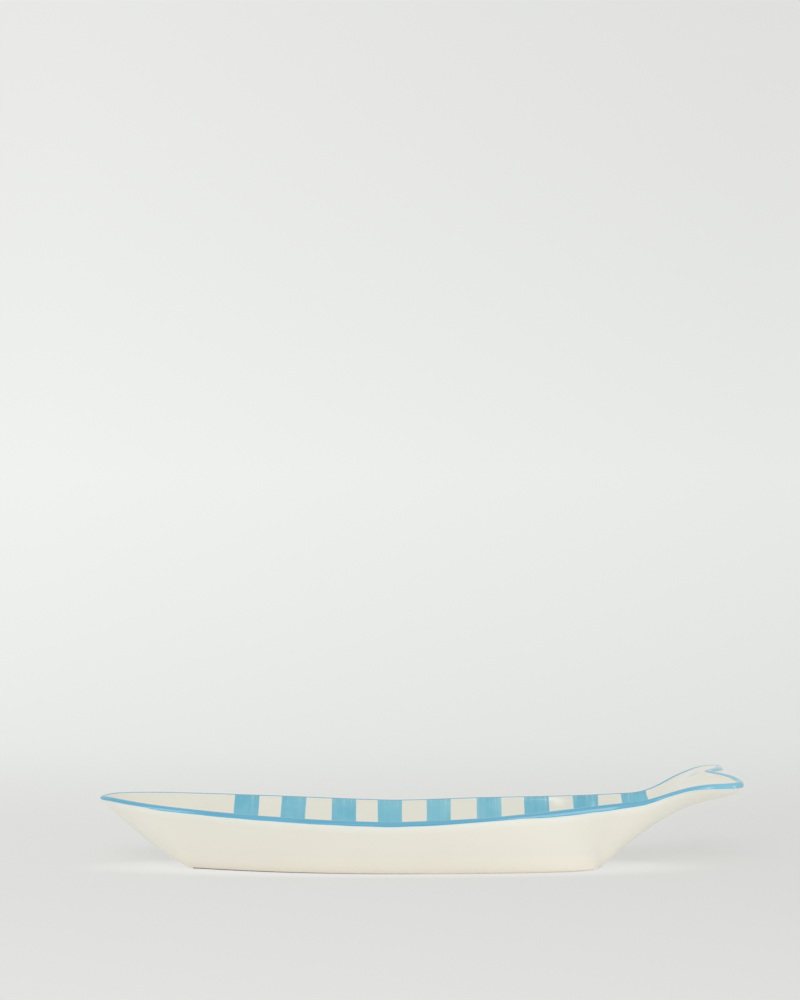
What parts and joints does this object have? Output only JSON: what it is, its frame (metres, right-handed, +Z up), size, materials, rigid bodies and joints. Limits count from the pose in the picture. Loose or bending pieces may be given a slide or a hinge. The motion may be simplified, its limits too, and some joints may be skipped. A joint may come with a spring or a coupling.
{
  "type": "serving platter",
  "caption": "Long fish shaped serving dish with a raised forked tail, a flat base on a dry foot ring, a coloured lip and stripes brushed across its well.",
  "frame": {"origin": "centre of the part's box, on the plane that the foot ring stands on", "axes": "+X from the nose to the tail, +Y across the dish, +Z up"},
  "size_m": [0.4004, 0.1236, 0.0614],
  "materials": {
    "cream_glaze": "glossy cream glaze over pale earthenware",
    "bare_clay": "dry, unglazed and a little stained",
    "blue_colour": "brushed blue underglaze colour under a clear gloss"
  },
  "bodies": {
    "root": {"platter_body": "cream_glaze", "foot_ring": "bare_clay", "rim_line": "blue_colour", "stripe_1": "blue_colour", "stripe_2": "blue_colour", "stripe_3": "blue_colour", "stripe_4": "blue_colour", "stripe_5": "blue_colour", "stripe_6": "blue_colour", "stripe_7": "blue_colour", "stripe_8": "blue_colour", "stripe_9": "blue_colour"}
  },
  "joints": []
}
